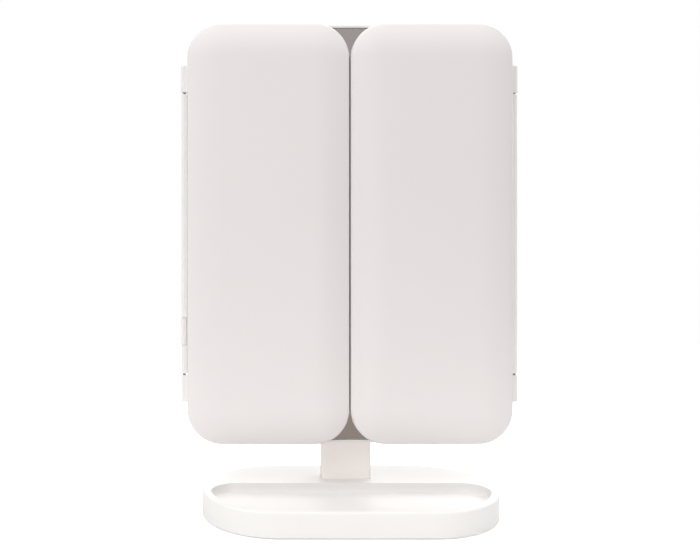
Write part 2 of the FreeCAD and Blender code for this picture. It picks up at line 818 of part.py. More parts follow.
def right_hinge_rail():
    low = head_middle - rail_half
    high = head_middle + rail_half
    rail = broken_ends(rail_blank(low, high, 0), low, high, rail_chamfer)
    tools = [rod(sleeve_radius + press_clearance, vec(hinge_x, 0, z), Z_AXIS, sleeve_length)
             for z in sleeve_starts()]
    shank_radius, shank_length = rail_screw[2:]
    tools += [rod(shank_radius + press_clearance, seat, X_AXIS, shank_length) for seat in rail_screw_seats()]
    return cut_all(rail, tools)


def guide_heights():
    return [button_middle - guide_spacing / 2, button_middle + guide_spacing / 2]


def left_hinge_rail():
    """Mirror image of the right rail, with a seat for the button and holes for its stem and guides."""
    low = button_middle - button_length / 2
    high = low + button_length
    tools = [block(-rail_outer - through, -button_seat, -rail_back, rail_back + through, low, high),
             block(-rail_outer - through, -wing_outer, -rail_back, moving_clearance, low, high)]
    depth = rail_outer - panel_half + through
    tools.append(rod(stem_radius + moving_clearance, vec(-rail_outer, stem_y, button_middle), X_AXIS, depth))
    tools += [rod(guide_radius + moving_clearance, vec(-rail_outer, guide_y, z), X_AXIS, depth)
              for z in guide_heights()]
    return cut_all(mirrored(right_hinge_rail()), tools)


def rail_screws():
    return [piece for seat in rail_screw_seats() for piece in both_sides(screw(rail_screw, seat, X_AXIS))]


def hinge_sleeves():
    bore = hinge_pin_radius + shaft_clearance
    return [piece for z in sleeve_starts()
            for piece in both_sides(tube(sleeve_radius, bore, vec(hinge_x, 0, z), Z_AXIS, sleeve_length))]


# ---- push button ----
def power_button():
    """A slice of the rail's outer half, with a front lip over its seat, a stem and two short guides."""
    low = button_middle - button_length / 2 + button_seam
    high = button_middle + button_length / 2 - button_seam
    blank = mirrored(broken_ends(rail_blank(low, high, button_proud), low, high, button_chamfer))
    outer_half = block(-rail_outer - through, -button_inner, -rail_back, rail_back + through, low, high)
    lip = block(-rail_outer - through, -lip_inner, -rail_back, 0, low, high)
    root = -button_inner - button_root
    stem = rod(stem_radius, vec(root, stem_y, button_middle), X_AXIS, -plunger_outer - root)
    guide_end = -panel_half - button_travel - moving_clearance
    guides = [rod(guide_radius, vec(root, guide_y, z), X_AXIS, guide_end - root) for z in guide_heights()]
    return fuse_all([blank.common(outer_half.fuse(lip)), stem] + guides)


def switch_plunger():
    return rod(plunger_radius, vec(-plunger_outer, stem_y, button_middle), X_AXIS, plunger_length)


def tact_switch():
    body = block(-switch_face, switch_depth - switch_face, stem_y - switch_half, stem_y + switch_half,
                 button_middle - switch_half, button_middle + switch_half)
    bore = rod(plunger_radius + moving_clearance, vec(-switch_face - through, stem_y, button_middle), X_AXIS,
               switch_depth)
    return body.cut(bore)


def switch_board():
    front = frame_back + board_thickness + slip
    start = switch_depth - switch_face
    return block(start, start + switch_board_thickness, front, inner_back - moving_clearance - slip,
                 button_middle - switch_board_half, button_middle + switch_board_half)


# ---- power and control ----
def control_board():
    left, right = (socket_x + side for side in control_span)
    low, high = (socket_z + level for level in control_rise)
    board = block(left, right, control_front, control_back, low, high)
    height = control_gap + standoff_overlap
    standoffs = []
    for x in (left + standoff_inset, right - standoff_inset):
        for z in (low + standoff_inset, high - standoff_inset):
            standoffs.append(rod(standoff_radius, vec(x, frame_back, z), Y_AXIS, height))
    return fuse_all([board] + standoffs)


def board_chips():
    chips = []
    for left, low, side, height in (driver_chip, charger_chip):
        x = socket_x + left
        z = socket_z + low
        chips.append(block(x, x + side, control_back, control_back + height, z, z + side))
    across, up, radius, height = capacitor
    chips.append(rod(radius, vec(socket_x + across, control_back, socket_z + up), Y_AXIS, height))
    return chips


def charging_socket():
    """Upright socket: a steel can with a rounded mouth and a flat contact tongue."""
    outline = (socket_width, socket_height, socket_height / 2 - slip)
    mouth_end = panel_depth - slip
    can = rounded_plate(socket_x, socket_z, outline, control_back, mouth_end)
    mouth = rounded_plate(socket_x, socket_z, inset_outline(outline, socket_lip), control_back + wall,
                          mouth_end + through)
    half = socket_width / 2 - socket_edge
    tongue = block(socket_x - half, socket_x + half, control_back + wall / 2, mouth_end - 1,
                   socket_z - socket_lip, socket_z + socket_lip)
    return can.cut(mouth).fuse(tongue)


def battery():
    left, right = (socket_x + side for side in battery_span)
    low, high = (head_middle + level for level in battery_rise)
    cell = block(left, right, inner_back - battery_thickness, inner_back, low, high)
    return cell.makeFillet(battery_edge_radius, upright_edges(cell, high - low))


# ---- wings ----
def wing_outline():
    return wing_width, head_height, corner_radius


def knuckle_levels():
    """Bottom ends of the two hinge knuckles."""
    return [head_middle - hinge_half, head_middle + hinge_half - knuckle_length]


def tenon(z, grow):
    """Tongue of the knuckle that starts at height z, let into the side of the wing frame."""
    middle = -face_gap - wing_flange / 2
    half = tenon_thickness / 2 + grow
    end = tenon_inset - grow
    return block(wing_outer - tenon_depth - grow, wing_outer + through / 2, middle - half, middle + half,
                 z + end, z + knuckle_length - end)


def wing_frame():
    outline = wing_outline()
    flange_end = -face_gap - wing_flange
    flange = rounded_plate(wing_middle, head_middle, outline, flange_end, -face_gap)
    lip = rounded_plate(wing_middle, head_middle, inset_outline(outline, wall + slip),
                        flange_end - lip_height, flange_end)
    pocket = rounded_plate(wing_middle, head_middle, inset_outline(outline, bezel),
                           -face_gap - wing_sink - wing_glass, through)
    slots = [tenon(z, press_clearance) for z in knuckle_levels()]
    return cut_all(fuse_all([flange, lip]), [pocket] + slots)


def hinge_knuckles():
    """Two knuckles that carry the wing on its pins."""
    knuckles = []
    for z in knuckle_levels():
        barrel = broken_rod(knuckle_radius, vec(hinge_x, 0, z), knuckle_length, knuckle_chamfer)
        link = block(wing_outer, hinge_x, -knuckle_radius, -face_gap - slip, z, z + knuckle_length)
        bore = rod(hinge_pin_radius + press_clearance, vec(hinge_x, 0, z), Z_AXIS, knuckle_length)
        knuckles.append(fuse_all([barrel, link, tenon(z, 0)]).cut(bore))
    return knuckles


def hinge_pins():
    """Each pin runs from its knuckle into the sleeve at that end of the rail."""
    pins = []
    reach = knuckle_gap + sleeve_length - moving_clearance
    for z, upward in zip(knuckle_levels(), (True, False)):
        low = z + knuckle_length - hinge_pin_seat if upward else z - reach
        pins.append(broken_rod(hinge_pin_radius, vec(hinge_x, 0, low), hinge_pin_seat + reach, pin_chamfer))
    return pins


def wing_mirror():
    front = -face_gap - wing_sink
    return rounded_plate(wing_middle, head_middle, inset_outline(wing_outline(), bezel + slip),
                         front - wing_glass, front)


def wing_shell():
    """Pillowed back of the wing, with ribs inside that bear on the frame."""
    start = -face_gap - wing_flange
    edges = (start, start - wing_wall_height, -wing_depth)
    shell, inside = hollow_pillow(wing_middle, wing_outline(), edges, wing_roll, wing_tightness)
    rib_start = start - lip_height
    half = rib_thickness / 2
    ribs = [block(wing_middle - half, wing_middle + half, -wing_depth, rib_start, head_lift,
                  head_lift + head_height)]
    for level in (-rib_pitch, 0, rib_pitch):
        z = head_middle + level
        ribs.append(block(wing_inner, wing_outer, -wing_depth, rib_start, z - half, z + half))
    return fuse_all([shell, fuse_all(ribs).common(inside)])


# ---- writing the pieces ----
def save(name, shapes):
    shape = shapes[0] if len(shapes) == 1 else Part.makeCompound(shapes)
    shape.exportStep("parts/" + name + ".step")


def save_stand():
    save("base_shell", [base_shell()])
    save("base_bottom_cover", [base_bottom_cover()])
    save("base_screws", base_screws())
    save("rubber_feet", rubber_feet())
    save("base_weight", [base_weight()])
    save("weight_screws", weight_screws())
    save("neck_bracket", [neck_bracket()])
    save("bracket_screws", bracket_screws())
    save("neck_front_shell", [neck_front_shell()])
    save("neck_rear_shell", [neck_rear_shell()])
    save("neck_screws", neck_screws())
    save("tilt_pin", [tilt_pin()])
    save("tilt_nut", [tilt_nut()])
    save("tilt_washers", tilt_washers())


def save_head():
    save("centre_front_frame", [centre_front_frame()])
    save("centre_mirror", [centre_mirror()])
    save("centre_rear_shell", [centre_rear_shell()])
    save("frame_screws", frame_screws())
    save("tilt_lug", [tilt_lug()])
    save("lug_screws", lug_screws())
    save("light_chips", light_chips())
    for name, piece in (("light_diffuser", light_diffuser()), ("light_board", light_board())):
        save("right_" + name, [piece])
        save("left_" + name, [mirrored(piece)])
    save("left_hinge_rail", [left_hinge_rail()])
    save("right_hinge_rail", [right_hinge_rail()])
    save("rail_screws", rail_screws())
    save("hinge_sleeves", hinge_sleeves())


def save_electrics():
    save("power_button", [power_button()])
    save("switch_plunger", [switch_plunger()])
    save("tact_switch", [tact_switch()])
    save("switch_board", [switch_board()])
    save("control_board", [control_board()])
    save("board_chips", board_chips())
    save("charging_socket", [charging_socket()])
    save("battery", [battery()])


def save_wings():
    for name, pieces in (("wing_shell", [wing_shell()]), ("wing_frame", [wing_frame()]),
                         ("wing_mirror", [wing_mirror()]), ("hinge_knuckles", hinge_knuckles()),
                         ("hinge_pins", hinge_pins())):
        save("right_" + name, pieces)
        save("left_" + name, [mirrored(piece) for piece in pieces])


os.makedirs("parts", exist_ok=True)
save_stand()
save_head()
save_electrics()
save_wings()
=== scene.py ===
import json
import math
import bmesh
import bpy
from mathutils import Matrix, Vector

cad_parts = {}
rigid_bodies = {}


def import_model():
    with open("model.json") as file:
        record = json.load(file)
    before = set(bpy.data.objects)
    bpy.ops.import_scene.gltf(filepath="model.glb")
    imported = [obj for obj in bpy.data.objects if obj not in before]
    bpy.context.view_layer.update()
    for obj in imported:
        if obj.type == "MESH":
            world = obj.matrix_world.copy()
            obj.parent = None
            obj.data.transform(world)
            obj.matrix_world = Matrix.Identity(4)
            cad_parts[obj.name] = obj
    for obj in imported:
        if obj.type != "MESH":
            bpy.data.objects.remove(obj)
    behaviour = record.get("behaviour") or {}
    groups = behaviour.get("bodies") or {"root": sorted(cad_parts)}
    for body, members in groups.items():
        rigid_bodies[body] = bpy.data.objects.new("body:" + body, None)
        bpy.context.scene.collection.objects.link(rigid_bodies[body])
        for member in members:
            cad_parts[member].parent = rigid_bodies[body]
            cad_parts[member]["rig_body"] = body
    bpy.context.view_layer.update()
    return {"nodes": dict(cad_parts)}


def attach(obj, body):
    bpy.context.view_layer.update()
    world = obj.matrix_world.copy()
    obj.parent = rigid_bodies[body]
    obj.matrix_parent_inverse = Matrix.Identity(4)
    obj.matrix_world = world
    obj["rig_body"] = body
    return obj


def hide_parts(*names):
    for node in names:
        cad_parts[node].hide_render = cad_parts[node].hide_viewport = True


# Looks of the trifold vanity mirror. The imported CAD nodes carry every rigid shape, so they stay and get
# procedural materials. Screws, feet, chips, the switch and the battery are built again here with finer
# detail. Sharp edges of the simpler nodes are rounded by modifiers.
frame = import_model()
nodes = frame["nodes"]

# ---- camera: level, square on, a little left of the middle, framed by lens shift ----
camera_place = (-0.0718, -0.5967, 0.2007)
camera_lens = 40.63
camera_shift = (0.1369, -0.0487)

# ---- light ----
world_level = 0.22        # strength of the world on diffuse surfaces
white = (1.0, 1.0, 1.0)
lamp_aim = (0.0, 0.0, 0.18)
lamps = {                 # place, side of the square, watts, whether mirrors and gloss show it
    "key_lamp": ((-1.10, -1.00, 1.30), 1.3, 10.7, False),
    "wide_lamp": ((0.0, -0.20, 1.50), 3.0, 38.5, False),
    "left_lamp": ((-1.48, -0.52, 0.42), 1.0, 2.7, False),
    "right_lamp": ((1.20, -0.70, 1.20), 1.2, 3.9, False),
    "low_lamp": ((-0.12, -1.20, 0.16), 0.8, 4.7, False),
    "back_lamp": ((0.0, 1.20, 1.0), 1.2, 4.8, True),
    "right_back_lamp": ((0.90, 0.90, 0.90), 1.0, 7.2, True),
}

# ---- stage ----
floor_side = 1.2
floor_front = -0.20       # the floor ends here, in front of the object and below the frame
floor_back = 1.0          # and here, where the world takes over
floor_colour = (0.83, 0.83, 0.83)
floor_roughness = 0.9
floor_gloss = 0.1         # specular level
floor_glow = 0.44         # seen by the camera only
card_half = 2.6
card_core = 1.5           # the card keeps its tone this far to its sides, then fades to white
card_sweep = ((-2.30, -2.6), (-2.30, 1.2), (-2.15, 1.9), (-1.80, 2.4), (-1.30, 2.7), (0.60, 3.0))   # y, z
card_rise = (-0.6, 1.0)   # heights between which its low tone turns into its top tone
card_turn = (1.2, 2.9)    # and its top tone into its overhead tone
card_low = (0.273, 0.229, 0.203)
card_top = (0.352, 0.318, 0.317)
card_over = (0.640, 0.640, 0.640)

# ---- plastics ----
wing_white = (0.702, 0.670, 0.664)
hinge_white = (0.752, 0.724, 0.716)
# the neck's white is painted lighter than the other plastics: painted light for the head's shade on it
neck_white_painted_light = (0.912, 0.866, 0.836)
base_white = (0.740, 0.724, 0.711)
frame_white = (0.690, 0.664, 0.654)
cover_white = (0.570, 0.552, 0.540)
warm_shift = (1.004, 0.994, 0.986)   # from a plastic's tone to its warmer clouds
chip_case_white = (0.80, 0.80, 0.78)
plunger_black = (0.035, 0.035, 0.037)

# ---- painted crevice light and edge wear ----
# pale tone painted into crevices: painted light that lifts the shade in them
painted_crevice_light = (0.950, 0.940, 0.930)
crevice_light_span = (0.75, 0.25)   # openness of a crevice at which painted light starts, and at which it is full
crevice_light_fade = 1.5           # painted crevice light is back in full at this many times the unlit height
edge_span = (0.99, 0.90)  # cosine of an edge's turn at which wear starts, and at which it is full
probe_samples = 6         # rays or normals that look for a crevice or an edge

# ---- mirrors, lights and rubber ----
silver = (0.93, 0.935, 0.93)
silver_smear = (0.905, 0.912, 0.91)
silver_dust = (0.80, 0.80, 0.80)
diffuser_dim = (0.86, 0.86, 0.835)
diffuser_pale = (0.92, 0.92, 0.90)
diffuser_depth = (0.004, 0.004, 0.004)   # how far red, green and blue light scatter in it
gel_deep = (0.82, 0.56, 0.07)
gel_pale = (0.93, 0.76, 0.22)
rubber_dark = (0.36, 0.36, 0.355)
rubber_pale = (0.44, 0.44, 0.435)
rubber_dust = (0.58, 0.56, 0.53)

# ---- metals ----
plate_dark = (0.055, 0.057, 0.062)
plate_scale = (0.12, 0.118, 0.115)
plate_streak = (0.17, 0.15, 0.13)
plate_edge = (0.42, 0.42, 0.42)
bracket_grey = (0.60, 0.60, 0.61)
lug_grey = (0.54, 0.54, 0.55)
rolled_grain = (1, 1, 0.06)          # the grain of rolled sheet runs along Z
even_grain = (1, 1, 1)
crystal_share = 0.10      # how far the crystals of a plated sheet differ in colour
screw_steel = (0.58, 0.58, 0.59)
hinge_steel = (0.50, 0.50, 0.51)
tin_white = (0.62, 0.62, 0.60)
bronze_dark = (0.46, 0.30, 0.12)
bronze_pale = (0.62, 0.44, 0.20)
bronze_pore = (0.16, 0.10, 0.05)
foil_dark = (0.50, 0.51, 0.53)
foil_pale = (0.66, 0.67, 0.69)

# ---- boards ----
white_mask = (0.80, 0.81, 0.78)
white_trace = (0.66, 0.67, 0.64)
green_mask = (0.035, 0.16, 0.075)
green_trace = (0.07, 0.27, 0.13)
pad_tin = (0.72, 0.70, 0.66)
track_stretch = (1.0, 1.0, 0.45)
epoxy_dark = (0.016, 0.016, 0.018)
epoxy_pale = (0.034, 0.034, 0.036)
epoxy_edge = (0.07, 0.07, 0.072)

# ---- meshes ----
weld_distance = 1e-6
nearly_zero = 1e-6
flat_angle = 0.5          # degrees between faces that count as one
sharp_angle = 35.0        # degrees between faces that keep a crisp edge
wide_round = 0.0003       # widths of rounded edges
middle_round = 0.0002
fine_round = 0.00012
round_steps = 2
round_parts = 24          # segments round a small part, with points on the corners of a driver cross
smooth_parts = 48         # segments round a foot or a can


# ---- node materials ----
class Nodes:
    """Builds a node tree in short calls. An input takes a plain value or the output of another node."""

    def __init__(self, tree):
        self.tree = tree

    def add(self, kind, **settings):
        node = self.tree.nodes.new(kind)
        for key, value in settings.items():
            setattr(node, key, value)
        return node

    def feed(self, socket, value):
        if isinstance(value, bpy.types.NodeSocket):
            self.tree.links.new(value, socket)
        elif socket.type == "RGBA":
            socket.default_value = (*value, 1.0)
        else:
            socket.default_value = value

    def fill(self, node, **values):
        """Feeds a node's inputs by name, with _ for a space."""
        for name, value in values.items():
            self.feed(node.inputs[name.replace("_", " ")], value)

    def span(self, value, low, high, start=0.0, end=1.0):
        """Maps low..high to start..end and stops there."""
        node = self.add("ShaderNodeMapRange")
        self.fill(node, Value=value, From_Min=low, From_Max=high, To_Min=start, To_Max=end)
        return node.outputs["Result"]

    def maths(self, operation, *values):
        node = self.add("ShaderNodeMath", operation=operation)
        for socket, value in zip(node.inputs, values):
            self.feed(socket, value)
        return node.outputs["Value"]

    def blend(self, share, first, second):
        """From the first colour to the second."""
        node = self.add("ShaderNodeMix", data_type="RGBA")
        inputs = {socket.identifier: socket for socket in node.inputs}
        self.feed(inputs["Factor_Float"], share)
        self.feed(inputs["A_Color"], first)
        self.feed(inputs["B_Color"], second)
        return next(socket for socket in node.outputs if socket.identifier == "Result_Color")

    def axis(self, name):
        """One of the object's own coordinates, in metres."""
        split = self.add("ShaderNodeSeparateXYZ")
        self.fill(split, Vector=self.add("ShaderNodeTexCoord").outputs["Object"])
        return split.outputs[name]

    def rays(self, first, *others):
        """1 for the kinds of ray named, 0 for the rest."""
        path = self.add("ShaderNodeLightPath")
        total = path.outputs[first]
        for kind in others:
            total = self.maths("MAXIMUM", total, path.outputs[kind])
        return total


class Finish(Nodes):
    """A material on one Principled shader. Textures lie in the object's own coordinates, in metres, so the
    scale of a noise or of cells is about how many there are in a metre."""

    def __init__(self, name):
        self.material = bpy.data.materials.new(name)
        self.material.use_nodes = True
        super().__init__(self.material.node_tree)
        self.place = self.add("ShaderNodeTexCoord").outputs["Object"]

    def shade(self, **values):
        """Feeds the shader and gives the material."""
        self.fill(self.tree.nodes["Principled BSDF"], **values)
        return self.material

    def coordinates(self, stretch):
        """Where a texture lies. A share under 1 draws it out along that axis."""
        if not stretch:
            return self.place
        node = self.add("ShaderNodeMapping")
        self.fill(node, Vector=self.place, Scale=stretch)
        return node.outputs["Vector"]

    def noise(self, scale, detail, stretch=None, distortion=0.0):
        node = self.add("ShaderNodeTexNoise")
        self.fill(node, Vector=self.coordinates(stretch), Scale=scale, Detail=detail, Distortion=distortion)
        return node.outputs["Fac"]

    def cells(self, scale, feature="F1", metric="EUCLIDEAN", output="Distance", stretch=None):
        node = self.add("ShaderNodeTexVoronoi", feature=feature, distance=metric)
        self.fill(node, Vector=self.coordinates(stretch), Scale=scale)
        return node.outputs[output]

    def ridges(self, scale):
        """Triangular ridges one after another along Z, about three per metre for each 1 of the scale."""
        node = self.add("ShaderNodeTexWave", bands_direction="Z", wave_profile="TRI")
        self.fill(node, Vector=self.place, Scale=scale)
        return node.outputs["Fac"]

    def bump(self, height, strength, distance, under=None):
        node = self.add("ShaderNodeBump")
        self.fill(node, Height=height, Strength=strength, Distance=distance)
        if under:
            self.fill(node, Normal=under)
        return node.outputs["Normal"]

    def crevices(self, distance):
        """1 on open surfaces, towards 0 where something is nearer than the distance."""
        node = self.add("ShaderNodeAmbientOcclusion", samples=probe_samples)
        self.fill(node, Distance=distance)
        return node.outputs["AO"]

    def edges(self, radius):
        """1 along sharp edges, 0 elsewhere."""
        node = self.add("ShaderNodeBevel", samples=probe_samples)
        self.fill(node, Radius=radius)
        turn = self.add("ShaderNodeVectorMath", operation="DOT_PRODUCT")
        self.feed(turn.inputs[0], node.outputs["Normal"])
        self.feed(turn.inputs[1], self.add("ShaderNodeNewGeometry").outputs["True Normal"])
        return self.span(turn.outputs["Value"], *edge_span)


def scaled(colour, share):
    return tuple(channel * share for channel in colour)


def moulded_plastic(name, colour, roughness=0.40, grain=1.0, crevice_light_reach=0.004, unlit_height=0.0):
    """Satin moulded plastic: slow drift of tint, fine even grain, slight polish along the edges. Its crevices
    are painted paler, painted light that lifts the shade in them, but not below the unlit height."""
    finish = Finish(name)
    drift = finish.span(finish.noise(6, detail=3), 0.35, 0.65)
    cloud = finish.span(finish.noise(55, detail=4), 0.3, 0.7)
    speck = finish.noise(1300, detail=3)
    tint = finish.blend(drift, scaled(colour, 0.990), scaled(colour, 1.006))
    warm = tuple(channel * shift for channel, shift in zip(colour, warm_shift))
    tint = finish.blend(finish.maths("MULTIPLY", cloud, 0.6), tint, warm)
    tint = finish.blend(finish.span(speck, 0.35, 0.65, 0.0, 0.12), tint, scaled(colour, 0.93))
    # painted light: crevices are painted paler to lift the shade in them
    crevice_light_share = finish.span(finish.crevices(crevice_light_reach), *crevice_light_span)
    if unlit_height:
        above_unlit = finish.span(finish.axis("Z"), unlit_height, unlit_height * crevice_light_fade)
        crevice_light_share = finish.maths("MULTIPLY", crevice_light_share, above_unlit)
    crevice_lit_tint = finish.blend(crevice_light_share, tint, painted_crevice_light)
    polish = finish.maths("MULTIPLY", finish.edges(0.0005), 0.10)
    smooth = finish.span(cloud, 0, 1, roughness - 0.03, roughness + 0.04)
    smooth = finish.maths("SUBTRACT", smooth, polish)
    texture = finish.maths("ADD", finish.noise(2600, detail=2), finish.cells(1500))
    relief = finish.bump(texture, strength=0.35 * grain, distance=0.000012)
    relief = finish.bump(finish.noise(22, detail=1), strength=0.10, distance=0.0004, under=relief)
    return finish.shade(Base_Color=crevice_lit_tint, Roughness=smooth, Normal=relief, IOR=1.5)


def silvered_glass():
    """Mirror: a clean silver tone with faint dust, soft smears and a slight waviness."""
    finish = Finish("silvered_glass")
    smear = finish.span(finish.noise(16, detail=6, stretch=(1, 1, 0.35), distortion=0.6), 0.52, 0.75)
    dust = finish.span(finish.cells(420), 0.10, 0.03)
    rough = finish.span(smear, 0, 1, 0.012, 0.045)
    rough = finish.maths("ADD", rough, finish.maths("MULTIPLY", dust, 0.05))
    tone = finish.blend(smear, silver, silver_smear)
    tone = finish.blend(finish.maths("MULTIPLY", dust, 0.25), tone, silver_dust)
    wave = finish.bump(finish.noise(9, detail=0), strength=0.02, distance=0.0004)
    return finish.shade(Base_Color=tone, Roughness=rough, Normal=wave, Metallic=1.0)


def soft_rubber():
    """Grey rubber with a matt skin and pale dust."""
    finish = Finish("soft_rubber")
    speck = finish.noise(900, detail=4)
    dust = finish.span(finish.noise(70, detail=5), 0.45, 0.75, 0.0, 0.35)
    tone = finish.blend(speck, rubber_dark, rubber_pale)
    tone = finish.blend(dust, tone, rubber_dust)
    relief = finish.bump(finish.noise(1800, detail=3), strength=0.4, distance=0.00003)
    return finish.shade(Base_Color=tone, Roughness=finish.span(speck, 0.3, 0.7, 0.72, 0.88), Normal=relief)


def rolled_plate():
    """Dark hot-rolled steel plate: mill scale in patches, bright sheared edges."""
    finish = Finish("rolled_plate")
    scale = finish.span(finish.noise(38, detail=7, distortion=0.8), 0.42, 0.62)
    streak = finish.noise(90, detail=3, stretch=(0.08, 1, 1))
    tone = finish.blend(scale, plate_dark, plate_scale)
    tone = finish.blend(finish.span(streak, 0.5, 0.75, 0.0, 0.4), tone, plate_streak)
    tone = finish.blend(finish.edges(0.0006), tone, plate_edge)
    relief = finish.bump(finish.noise(650, detail=5), strength=0.5, distance=0.00006)
    return finish.shade(Base_Color=tone, Metallic=0.85, Normal=relief,
                        Roughness=finish.span(scale, 0, 1, 0.62, 0.42))


def plated_sheet(name, tone, grain_stretch):
    """Plated sheet or casting: a grain, crystal patches and polished edges."""
    finish = Finish(name)
    grain = finish.noise(700, detail=4, stretch=grain_stretch)
    patch = finish.blend(crystal_share, tone, finish.cells(110, output="Color"))
    colour = finish.blend(finish.span(grain, 0.3, 0.7, 0.0, 0.5), patch, scaled(tone, 0.72))
    colour = finish.blend(finish.edges(0.0004), colour, scaled(tone, 1.22))
    relief = finish.bump(grain, strength=0.25, distance=0.00002)
    return finish.shade(Base_Color=colour, Metallic=1.0, Normal=relief,
                        Roughness=finish.span(grain, 0.3, 0.7, 0.28, 0.46))


def plated_fastener(name, tone):
    """Plated steel: turning marks, a little tarnish, bright edges."""
    finish = Finish(name)
    tarnish = finish.span(finish.noise(260, detail=4), 0.45, 0.7)
    colour = finish.blend(tarnish, tone, scaled(tone, 0.74))
    colour = finish.blend(finish.edges(0.00015), colour, scaled(tone, 1.3))
    relief = finish.bump(finish.noise(3800, detail=2), strength=0.3, distance=0.00001)
    return finish.shade(Base_Color=colour, Metallic=1.0, Normal=relief,
                        Roughness=finish.span(tarnish, 0, 1, 0.24, 0.42))


def sintered_bronze():
    """Porous bronze: dark pores in a stained yellow metal."""
    finish = Finish("sintered_bronze")
    solid = finish.span(finish.cells(2600), 0.10, 0.30)
    tone = finish.blend(finish.noise(220, detail=5), bronze_dark, bronze_pale)
    tone = finish.blend(finish.span(solid, 0, 1, 0.6, 0.0), tone, bronze_pore)
    relief = finish.bump(solid, strength=0.4, distance=0.00004)
    return finish.shade(Base_Color=tone, Metallic=1.0, Normal=relief,
                        Roughness=finish.span(solid, 0, 1, 0.60, 0.36))


def frosted_diffuser():
    """Milky light cover with fine prism lines across it."""
    finish = Finish("frosted_diffuser")
    haze = finish.noise(500, detail=3)
    tone = finish.blend(haze, diffuser_dim, diffuser_pale)
    relief = finish.bump(finish.ridges(165), strength=0.5, distance=0.00025)
    relief = finish.bump(haze, strength=0.3, distance=0.00003, under=relief)
    return finish.shade(Base_Color=tone, Roughness=finish.span(haze, 0.3, 0.7, 0.44, 0.58), Normal=relief,
                        Subsurface_Weight=0.35, Subsurface_Radius=diffuser_depth, Subsurface_Scale=1.0)


def lacquered_board(name, mask, trace):
    """Circuit board: tracks under the lacquer, pads among them and a fine weave."""
    finish = Finish(name)
    second = finish.cells(330, feature="F2", metric="CHEBYCHEV", stretch=track_stretch)
    nearest = finish.cells(330, metric="CHEBYCHEV", stretch=track_stretch)
    line = finish.span(finish.maths("SUBTRACT", second, nearest), 0.05, 0.11)
    pads = finish.span(finish.cells(210), 0.14, 0.17)
    weave = finish.noise(2400, detail=2)
    tone = finish.blend(line, trace, mask)
    tone = finish.blend(pads, pad_tin, tone)
    tone = finish.blend(finish.span(weave, 0.3, 0.7, 0.0, 0.15), tone, scaled(mask, 0.7))
    relief = finish.bump(line, strength=0.6, distance=0.00003)
    relief = finish.bump(weave, strength=0.2, distance=0.00001, under=relief)
    return finish.shade(Base_Color=tone, Roughness=finish.span(pads, 0, 1, 0.22, 0.38), Normal=relief)


def moulded_epoxy():
    """Black moulded epoxy of chips: a fine sandy skin, a little paler along the edges."""
    finish = Finish("moulded_epoxy")
    sand = finish.noise(3200, detail=3)
    tone = finish.blend(sand, epoxy_dark, epoxy_pale)
    tone = finish.blend(finish.edges(0.0002), tone, epoxy_edge)
    relief = finish.bump(sand, strength=0.5, distance=0.00002)
    return finish.shade(Base_Color=tone, Roughness=finish.span(sand, 0.3, 0.7, 0.48, 0.66), Normal=relief)


def phosphor():
    """Cast phosphor gel over a light chip: fine grains in a glossy yellow."""
    finish = Finish("phosphor")
    grains = finish.noise(6500, detail=3)
    tone = finish.blend(grains, gel_deep, gel_pale)
    relief = finish.bump(grains, strength=0.3, distance=0.00001)
    return finish.shade(Base_Color=tone, Roughness=finish.span(grains, 0.3, 0.7, 0.16, 0.34), Normal=relief)


def matte_nylon(name, tone):
    """Nylon with faint flow lines along X."""
    finish = Finish(name)
    flow = finish.noise(300, detail=4, stretch=(0.3, 1, 1))
    colour = finish.blend(flow, scaled(tone, 0.85), scaled(tone, 1.15))
    relief = finish.bump(finish.noise(2600, detail=2), strength=0.4, distance=0.00001)
    return finish.shade(Base_Color=colour, Roughness=finish.span(flow, 0.3, 0.7, 0.46, 0.62), Normal=relief)


def pouch_foil():
    """Embossed foil of a pouch cell, with soft creases."""
    finish = Finish("pouch_foil")
    crease = finish.noise(85, detail=5, distortion=1.4)
    tone = finish.blend(crease, foil_dark, foil_pale)
    relief = finish.bump(crease, strength=0.5, distance=0.0007)
    relief = finish.bump(finish.cells(900), strength=0.3, distance=0.00003, under=relief)
    return finish.shade(Base_Color=tone, Metallic=0.75, Normal=relief,
                        Roughness=finish.span(crease, 0.3, 0.7, 0.34, 0.5))


# ---- meshes built here ----
def loft(work, loops):
    """Skins loops of equal length one after another. Returns the rings of vertices."""
    rings = [[work.verts.new(point) for point in loop] for loop in loops]
    for first, second in zip(rings, rings[1:]):
        for index in range(len(first)):
            after = (index + 1) % len(first)
            work.faces.new((first[index], first[after], second[after], second[index]))
    return rings


def cap(work, ring, point):
    """Closes a ring with a fan of triangles to the point."""
    centre = work.verts.new(point)
    for index, vertex in enumerate(ring):
        work.faces.new((vertex, ring[(index + 1) % len(ring)], centre))


def closed_loft(work, start, loops, end):
    """Lofted solid round the Z axis, with a middle point at each end."""
    rings = loft(work, loops)
    cap(work, rings[0], (0, 0, start))
    cap(work, rings[-1], (0, 0, end))


def turns(count):
    """Angles that share a full turn equally."""
    return [math.tau * index / count for index in range(count)]


def circle(radius, level, angles):
    return [(radius * math.cos(angle), radius * math.sin(angle), level) for angle in angles]


def square(half, level, angles):
    """Outline of a square, with its points at the angles."""
    points = []
    for angle in angles:
        reach = half / max(abs(math.cos(angle)), abs(math.sin(angle)))
        points.append((reach * math.cos(angle), reach * math.sin(angle), level))
    return points


def cross(arm, level, angles):
    """Outline of a driver cross. The corners of an arm's end lie one segment off the arm's axis."""
    half = arm * math.tan(math.tau / round_parts)
    points = []
    for angle in angles:
        along = max(abs(math.cos(angle)), abs(math.sin(angle)))
        across = max(min(abs(math.cos(angle)), abs(math.sin(angle))), nearly_zero)
        reach = max(min(arm / along, half / across), half / along)
        points.append((reach * math.cos(angle), reach * math.sin(angle), level))
    return points


